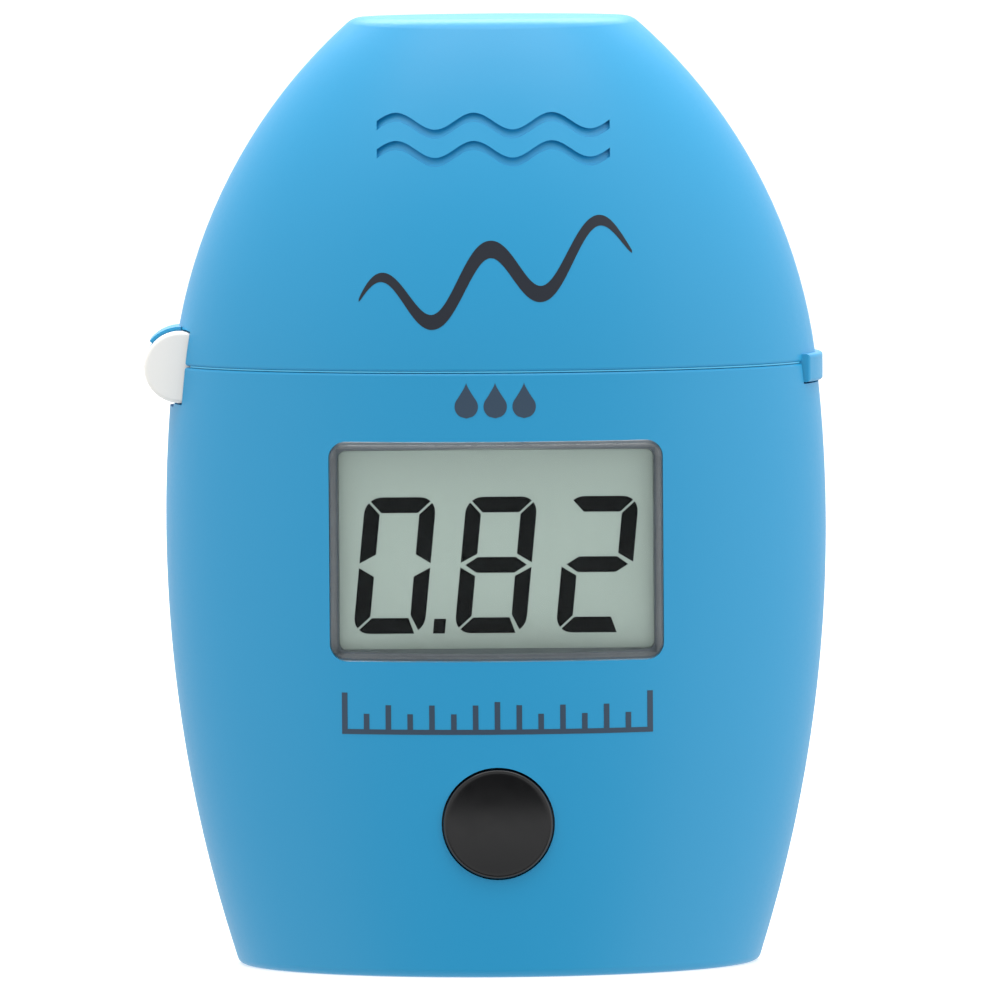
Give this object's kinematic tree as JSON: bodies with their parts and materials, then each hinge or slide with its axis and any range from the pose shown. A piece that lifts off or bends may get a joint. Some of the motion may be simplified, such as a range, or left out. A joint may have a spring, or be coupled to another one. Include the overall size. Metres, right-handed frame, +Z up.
{
  "type": "handheld colorimeter",
  "caption": "Pocket water tester with a domed hinged lid over a glass sample cuvette, a number display and one push button.",
  "frame": {"origin": "middle of the flat base that the tester stands on", "axes": "+Z up through the lid, -Y out of the display, +X towards the latch, with the hinge on -X"},
  "size_m": [0.0618, 0.0374, 0.0862],
  "materials": {
    "blue_abs": "satin moulded ABS, light blue",
    "white_abs": "satin moulded ABS, white",
    "black_abs": "matt moulded ABS, black",
    "black_gloss": "polished moulded ABS, black",
    "bezel_grey": "satin moulded ABS, dark grey",
    "clear_acrylic": "clear polished acrylic",
    "lcd": "liquid crystal cell with a reflector, grey",
    "borosilicate": "clear borosilicate glass",
    "filter_glass": "green interference filter",
    "led_epoxy": "clear tinted epoxy",
    "solder_mask": "green solder mask on glass epoxy",
    "chip_epoxy": "matt moulded epoxy, black",
    "chip_ceramic": "fired ceramic chip bodies",
    "conductive_rubber": "layered conductive silicone rubber",
    "foam": "closed-cell foam, black",
    "nitrile": "nitrile rubber",
    "polythene": "soft moulded polythene, white",
    "nickel": "nickel-plated spring steel",
    "zinc_steel": "zinc-plated steel",
    "battery_wrap": "printed film over a steel can"
  },
  "bodies": {
    "case": {"front_shell": "blue_abs", "rear_shell": "blue_abs", "case_screws": "zinc_steel", "chassis": "white_abs", "cuvette_well": "black_abs", "display_lens": "clear_acrylic", "display_bezel": "bezel_grey", "lcd_glass": "lcd", "lcd_connectors": "conductive_rubber", "circuit_board": "solder_mask", "board_screws": "zinc_steel", "microcontroller": "chip_epoxy", "amplifier_chip": "chip_epoxy", "board_parts": "chip_ceramic", "switch_body": "black_abs", "led_lamp": "led_epoxy", "led_leads": "nickel", "led_holder": "black_abs", "light_filter": "filter_glass", "photodiode": "chip_epoxy", "detector_holder": "black_abs", "battery": "battery_wrap", "battery_plus_contact": "nickel", "battery_minus_strip": "nickel", "hinge_pin": "nickel"},
    "lid": {"lid_shell": "blue_abs", "lid_seal": "foam"},
    "button": {"button_cap": "black_gloss"},
    "plunger": {"switch_plunger": "polythene"},
    "cap": {"battery_cap": "black_abs", "cap_seal": "nitrile", "cap_contact": "nickel"},
    "cuvette": {"cuvette_glass": "borosilicate"},
    "cuvette_top": {"cuvette_cap": "black_abs", "cuvette_stopper": "polythene"}
  },
  "joints": [
    {"name": "lid_hinge", "type": "hinge", "parent": "case", "child": "lid", "pos_m": [-0.0286, 0, 0.05465], "axis": [0, -1, 0], "range_deg": [0, 105]},
    {"name": "button_press", "type": "slide", "parent": "case", "child": "button", "axis": [0, 1, 0], "range_m": [0, 0.0005], "stiffness_N_per_m": 1500, "springref_m": -0.0003},
    {"name": "plunger_press", "type": "slide", "parent": "case", "child": "plunger", "axis": [0, 1, 0], "range_m": [0, 0.0005]},
    {"name": "battery_cap_turn", "type": "hinge", "parent": "case", "child": "cap", "pos_m": [0.0144, 0.0028, 0.0012], "axis": [0, 0, 1], "range_deg": [0, 60]},
    {"name": "cuvette_turn", "type": "hinge", "parent": "case", "child": "cuvette", "pos_m": [-0.007, 0.00215, 0.019], "axis": [0, 0, 1], "continuous": true},
    {"name": "cuvette_cap_turn", "type": "hinge", "parent": "cuvette", "child": "cuvette_top", "pos_m": [-0.007, 0.00215, 0.056], "axis": [0, 0, 1], "range_deg": [0, 270]}
  ],
  "couplings": [
    {"joint": "plunger_press", "follows": "button_press", "ratio": 1}
  ]
}
